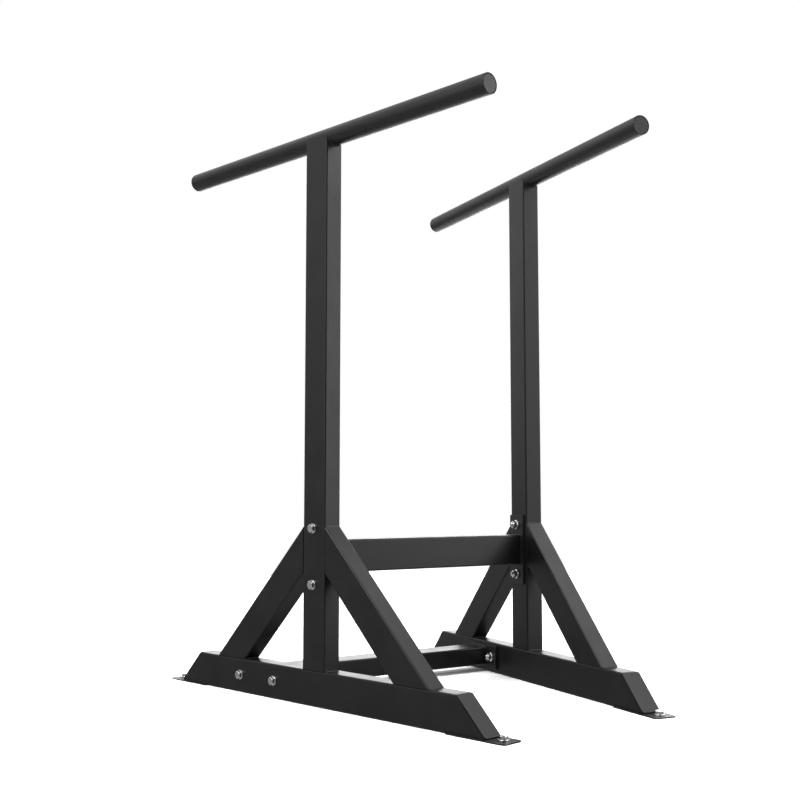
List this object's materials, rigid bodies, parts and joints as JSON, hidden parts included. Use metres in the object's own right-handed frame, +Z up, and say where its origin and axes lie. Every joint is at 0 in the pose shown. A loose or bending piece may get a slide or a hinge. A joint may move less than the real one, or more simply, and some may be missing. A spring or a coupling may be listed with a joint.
{
  "type": "dip station",
  "caption": "Free-standing dip station: two splayed side frames of black rectangular tube with round handle bars, bolted together by an upper and a lower cross member.",
  "frame": {"origin": "on the floor, midway between the two side frames and midway between front and rear", "axes": "+Z up; +Y towards the rear, where the side frames are furthest apart; +X towards the right side frame for someone looking along +Y"},
  "size_m": [0.9292, 1.1852, 1.4222],
  "materials": {
    "frame_coat": "satin black powder coat",
    "bar_coat": "satin black powder coat, a little smoother where hands hold it",
    "plate_coat": "satin black powder coat on flat plate",
    "cap_coat": "satin black powder coat on the discs that close the bars",
    "bolt_zinc": "bright zinc plate",
    "washer_zinc": "bright zinc plate"
  },
  "bodies": {
    "root": {"left_base_beam": "frame_coat", "left_upright": "frame_coat", "left_handle_bar": "bar_coat", "left_front_end_plate": "plate_coat", "left_front_brace": "frame_coat", "left_front_foot_plate": "plate_coat", "left_front_bar_cap": "cap_coat", "left_front_floor_washer": "washer_zinc", "left_front_floor_bolt": "bolt_zinc", "left_rear_end_plate": "plate_coat", "left_rear_brace": "frame_coat", "left_rear_foot_plate": "plate_coat", "left_rear_bar_cap": "cap_coat", "left_rear_floor_washer": "washer_zinc", "left_rear_floor_bolt": "bolt_zinc", "left_upper_flange": "plate_coat", "left_upper_top_washer": "washer_zinc", "left_upper_top_bolt": "bolt_zinc", "left_upper_top_nut": "bolt_zinc", "left_upper_bottom_washer": "washer_zinc", "left_upper_bottom_bolt": "bolt_zinc", "left_upper_bottom_nut": "bolt_zinc", "left_lower_flange": "plate_coat", "left_lower_front_washer": "washer_zinc", "left_lower_front_bolt": "bolt_zinc", "left_lower_front_nut": "bolt_zinc", "left_lower_rear_washer": "washer_zinc", "left_lower_rear_bolt": "bolt_zinc", "left_lower_rear_nut": "bolt_zinc", "right_base_beam": "frame_coat", "right_upright": "frame_coat", "right_handle_bar": "bar_coat", "right_front_end_plate": "plate_coat", "right_front_brace": "frame_coat", "right_front_foot_plate": "plate_coat", "right_front_bar_cap": "cap_coat", "right_front_floor_washer": "washer_zinc", "right_front_floor_bolt": "bolt_zinc", "right_rear_end_plate": "plate_coat", "right_rear_brace": "frame_coat", "right_rear_foot_plate": "plate_coat", "right_rear_bar_cap": "cap_coat", "right_rear_floor_washer": "washer_zinc", "right_rear_floor_bolt": "bolt_zinc", "right_upper_flange": "plate_coat", "right_upper_top_washer": "washer_zinc", "right_upper_top_bolt": "bolt_zinc", "right_upper_top_nut": "bolt_zinc", "right_upper_bottom_washer": "washer_zinc", "right_upper_bottom_bolt": "bolt_zinc", "right_upper_bottom_nut": "bolt_zinc", "right_lower_flange": "plate_coat", "right_lower_front_washer": "washer_zinc", "right_lower_front_bolt": "bolt_zinc", "right_lower_front_nut": "bolt_zinc", "right_lower_rear_washer": "washer_zinc", "right_lower_rear_bolt": "bolt_zinc", "right_lower_rear_nut": "bolt_zinc", "upper_cross_tube": "frame_coat", "lower_cross_tube": "frame_coat"}
  },
  "joints": []
}
